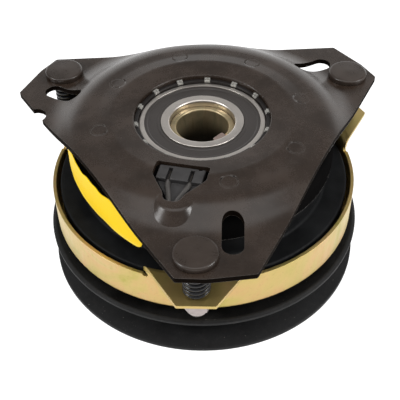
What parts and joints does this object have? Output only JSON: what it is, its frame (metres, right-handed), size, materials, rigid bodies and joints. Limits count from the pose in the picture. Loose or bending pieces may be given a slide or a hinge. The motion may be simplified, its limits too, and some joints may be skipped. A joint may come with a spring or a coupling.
{
  "type": "electromagnetic clutch brake",
  "caption": "Engine-shaft electric clutch and brake with a three-cornered field plate, coil, ball bearings, brake plate on sprung studs and a V-belt pulley.",
  "frame": {"origin": "centre of the shaft bore at the lower end of the rotor hub, in the plane the pulley rim rests on", "axes": "+Z along the shaft bore from the pulley to the field plate, -Y through the front adjusting stud"},
  "size_m": [0.1836, 0.1781, 0.0818],
  "materials": {
    "black_e_coat": "satin",
    "black_shell": "satin",
    "bare_steel": "satin",
    "bearing_steel": "polished",
    "ball_steel": "polished",
    "cage_steel": "satin",
    "seal_rubber": "matte",
    "copper_winding": "gloss",
    "nylon_black": "matte",
    "coil_tape": "matte",
    "potting_resin": "matte",
    "terminal_brass": "satin",
    "lead_sleeve": "satin",
    "label_yellow": "satin",
    "yellow_zinc": "satin",
    "zinc_steel": "satin",
    "spring_black": "gloss",
    "friction_material": "matte",
    "cast_black": "matte",
    "key_steel": "satin"
  },
  "bodies": {
    "field": {"field_plate": "black_e_coat", "field_hub": "black_e_coat", "field_shell": "black_shell", "coil_bobbin": "nylon_black", "coil_winding": "copper_winding", "coil_wrap": "coil_tape", "coil_potting": "potting_resin", "connector_housing": "nylon_black", "connector_terminals": "terminal_brass", "coil_leads": "lead_sleeve", "side_label": "label_yellow", "adjusting_studs": "black_e_coat", "field_bearing_outer_ring": "bearing_steel", "field_bearing_seals": "seal_rubber"},
    "rotor": {"rotor": "cast_black", "rotor_hub": "yellow_zinc", "hub_key": "key_steel", "rotor_friction_lining": "friction_material", "field_bearing_inner_ring": "bearing_steel", "pulley_bearing_inner_ring": "bearing_steel", "bearing_spacer": "bare_steel", "hub_retaining_ring": "spring_black"},
    "field_cage": {"field_bearing_balls": "ball_steel", "field_bearing_cage": "cage_steel"},
    "pulley": {"pulley": "cast_black", "pulley_bearing_outer_ring": "bearing_steel", "pulley_bearing_seals": "seal_rubber", "pulley_bearing_circlip": "spring_black", "pulley_rivets": "zinc_steel"},
    "pulley_cage": {"pulley_bearing_balls": "ball_steel", "pulley_bearing_cage": "cage_steel"},
    "armature": {"armature": "bare_steel", "armature_rivets": "zinc_steel", "leaf_springs": "bare_steel"},
    "brake_plate": {"brake_plate": "yellow_zinc", "brake_pads": "friction_material", "brake_springs": "spring_black"},
    "nut_front": {"nut_front": "zinc_steel"},
    "nut_right": {"nut_right": "zinc_steel"},
    "nut_left": {"nut_left": "zinc_steel"}
  },
  "joints": [
    {"name": "rotor_spin", "type": "hinge", "parent": "field", "child": "rotor", "pos_m": [0, 0, 0.0695], "axis": [0, 0, 1], "continuous": true},
    {"name": "field_cage_spin", "type": "hinge", "parent": "field", "child": "field_cage", "pos_m": [0, 0, 0.0695], "axis": [0, 0, 1], "continuous": true},
    {"name": "pulley_spin", "type": "hinge", "parent": "rotor", "child": "pulley", "pos_m": [0, 0, 0.0145], "axis": [0, 0, 1], "continuous": true},
    {"name": "pulley_cage_spin", "type": "hinge", "parent": "rotor", "child": "pulley_cage", "pos_m": [0, 0, 0.0145], "axis": [0, 0, 1], "continuous": true},
    {"name": "armature_engage", "type": "slide", "parent": "pulley", "child": "armature", "axis": [0, 0, 1], "range_m": [0, 0.0004], "stiffness_N_per_m": 20000, "springref_m": -0.0005, "deforming": ["leaf_springs"]},
    {"name": "brake_adjust", "type": "slide", "parent": "field", "child": "brake_plate", "axis": [0, 0, 1], "range_m": [-0.0015, 0], "deforming": ["brake_springs"]},
    {"name": "nut_front_turn", "type": "hinge", "parent": "brake_plate", "child": "nut_front", "pos_m": [0, -0.086, 0.0459], "axis": [0, 0, 1], "range_deg": [-511, 1]},
    {"name": "nut_right_turn", "type": "hinge", "parent": "brake_plate", "child": "nut_right", "pos_m": [0.07448, 0.043, 0.0459], "axis": [0, 0, 1], "range_deg": [-511, 1]},
    {"name": "nut_left_turn", "type": "hinge", "parent": "brake_plate", "child": "nut_left", "pos_m": [-0.07448, 0.043, 0.0459], "axis": [0, 0, 1], "range_deg": [-511, 1]}
  ],
  "couplings": [
    {"joint": "field_cage_spin", "follows": "rotor_spin", "ratio": 0.3984},
    {"joint": "pulley_cage_spin", "follows": "pulley_spin", "ratio": 0.6016},
    {"joint": "nut_front_turn", "follows": "brake_adjust", "rad_per_m": 5936.9},
    {"joint": "nut_right_turn", "follows": "brake_adjust", "rad_per_m": 5936.9},
    {"joint": "nut_left_turn", "follows": "brake_adjust", "rad_per_m": 5936.9}
  ]
}
